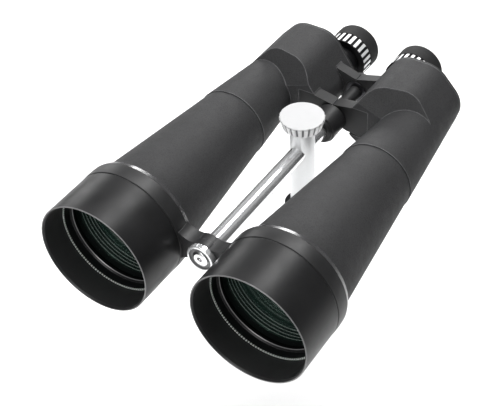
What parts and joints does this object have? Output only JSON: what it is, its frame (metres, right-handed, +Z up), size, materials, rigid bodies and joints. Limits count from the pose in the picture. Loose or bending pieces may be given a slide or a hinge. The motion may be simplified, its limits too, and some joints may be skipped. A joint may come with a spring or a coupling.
{
  "type": "astronomy binoculars",
  "caption": "Giant Porro-prism binoculars: conical armoured barrels with deep hoods on a centre hinge, and a chrome rod with a sliding tripod post, clamp knob and separate eyepiece focus.",
  "frame": {"origin": "mouth of the tripod thread, on the underside of the foot below the centre rod", "axes": "+Z up along the tripod post; -Y the way the binoculars look; +Y towards the user's eyes; +X the user's left"},
  "size_m": [0.2694, 0.394, 0.1304],
  "materials": {
    "rubber_armour": "fine-grained matte rubber",
    "eyecup_rubber": "soft matte rubber",
    "hood_paint": "satin black",
    "bracket_paint": "satin black over a casting",
    "casting_paint": "dark grey enamel",
    "tube_paint": "dark grey primer",
    "baffle_black": "matte optical black with bright edges",
    "black_anodised": "black anodised",
    "silver_aluminium": "satin silver",
    "plate_aluminium": "bare cast aluminium",
    "chrome": "polished",
    "bright_steel": "turned",
    "spring_steel": "rolled",
    "black_steel": "blackened",
    "brass": "turned",
    "coated_glass": "green anti-reflection coating",
    "prism_glass": "ground sides"
  },
  "bodies": {
    "post": {"tripod_post": "chrome", "tripod_foot": "black_anodised", "thread_insert": "brass"},
    "clamp_shoe": {"clamp_shoe": "brass"},
    "clamp_knob": {"clamp_knob": "silver_aluminium", "clamp_screw": "bright_steel"},
    "rod": {"centre_rod": "chrome", "front_cap": "chrome", "cap_screw": "bright_steel", "rod_socket": "bracket_paint", "hinge_axle": "bright_steel", "hinge_tube": "casting_paint", "hinge_washers": "black_steel", "rear_cap": "bracket_paint"},
    "left_half": {"left_objective_hood": "hood_paint", "left_objective_cell": "black_anodised", "left_retaining_ring": "black_anodised", "left_crown_lens": "coated_glass", "left_flint_lens": "coated_glass", "left_front_bracket": "bracket_paint", "left_bracket_arm": "bracket_paint", "left_barrel_tube": "tube_paint", "left_barrel_armour": "rubber_armour", "left_baffle_rings": "baffle_black", "left_rear_barrel": "casting_paint", "left_prism_housing": "casting_paint", "left_housing_armour": "rubber_armour", "left_prism_plate": "plate_aluminium", "left_prisms": "prism_glass", "left_prism_clips": "spring_steel", "left_rear_cover": "casting_paint", "left_cover_screws": "black_steel", "left_eyepiece_tube": "black_anodised"},
    "left_eyepiece": {"left_eyepiece_barrel": "black_anodised", "left_eyepiece_lenses": "coated_glass", "left_eyecup": "eyecup_rubber"},
    "left_focus_ring": {"left_focus_ring": "silver_aluminium"},
    "right_half": {"right_objective_hood": "hood_paint", "right_objective_cell": "black_anodised", "right_retaining_ring": "black_anodised", "right_crown_lens": "coated_glass", "right_flint_lens": "coated_glass", "right_front_bracket": "bracket_paint", "right_bracket_arm": "bracket_paint", "right_barrel_tube": "tube_paint", "right_barrel_armour": "rubber_armour", "right_baffle_rings": "baffle_black", "right_rear_barrel": "casting_paint", "right_prism_housing": "casting_paint", "right_housing_armour": "rubber_armour", "right_prism_plate": "plate_aluminium", "right_prisms": "prism_glass", "right_prism_clips": "spring_steel", "right_rear_cover": "casting_paint", "right_cover_screws": "black_steel", "right_eyepiece_tube": "black_anodised"},
    "right_eyepiece": {"right_eyepiece_barrel": "black_anodised", "right_eyepiece_lenses": "coated_glass", "right_eyecup": "eyecup_rubber"},
    "right_focus_ring": {"right_focus_ring": "silver_aluminium"}
  },
  "joints": [
    {"name": "clamp_lift", "type": "slide", "parent": "post", "child": "clamp_shoe", "axis": [0, 0, 1], "range_m": [0, 0.0019]},
    {"name": "knob_turn", "type": "hinge", "parent": "clamp_shoe", "child": "clamp_knob", "pos_m": [0, 0, 0.104], "axis": [0, 0, 1], "range_deg": [0, 540]},
    {"name": "rod_slide", "type": "slide", "parent": "post", "child": "rod", "axis": [0, 1, 0], "range_m": [-0.016, 0.075]},
    {"name": "left_fold", "type": "hinge", "parent": "rod", "child": "left_half", "pos_m": [0, 0.082, 0.074], "axis": [0, 1, 0], "range_deg": [0, 40]},
    {"name": "left_focus_travel", "type": "slide", "parent": "left_half", "child": "left_eyepiece", "axis": [0, 1, 0], "range_m": [-0.0036, 0.0036]},
    {"name": "left_focus_turn", "type": "hinge", "parent": "left_eyepiece", "child": "left_focus_ring", "pos_m": [0.0365, 0.149, 0.074], "axis": [0, 1, 0], "range_deg": [-160, 160]},
    {"name": "right_fold", "type": "hinge", "parent": "rod", "child": "right_half", "pos_m": [0, 0.082, 0.074], "axis": [0, -1, 0], "range_deg": [0, 40]},
    {"name": "right_focus_travel", "type": "slide", "parent": "right_half", "child": "right_eyepiece", "axis": [0, 1, 0], "range_m": [-0.0036, 0.0036]},
    {"name": "right_focus_turn", "type": "hinge", "parent": "right_eyepiece", "child": "right_focus_ring", "pos_m": [-0.0365, 0.149, 0.074], "axis": [0, 1, 0], "range_deg": [-160, 160]}
  ],
  "couplings": [
    {"joint": "clamp_lift", "follows": "knob_turn", "m_per_rad": 0.0001989},
    {"joint": "left_focus_travel", "follows": "left_focus_turn", "m_per_rad": 0.0012533},
    {"joint": "right_focus_travel", "follows": "right_focus_turn", "m_per_rad": 0.0012533}
  ]
}
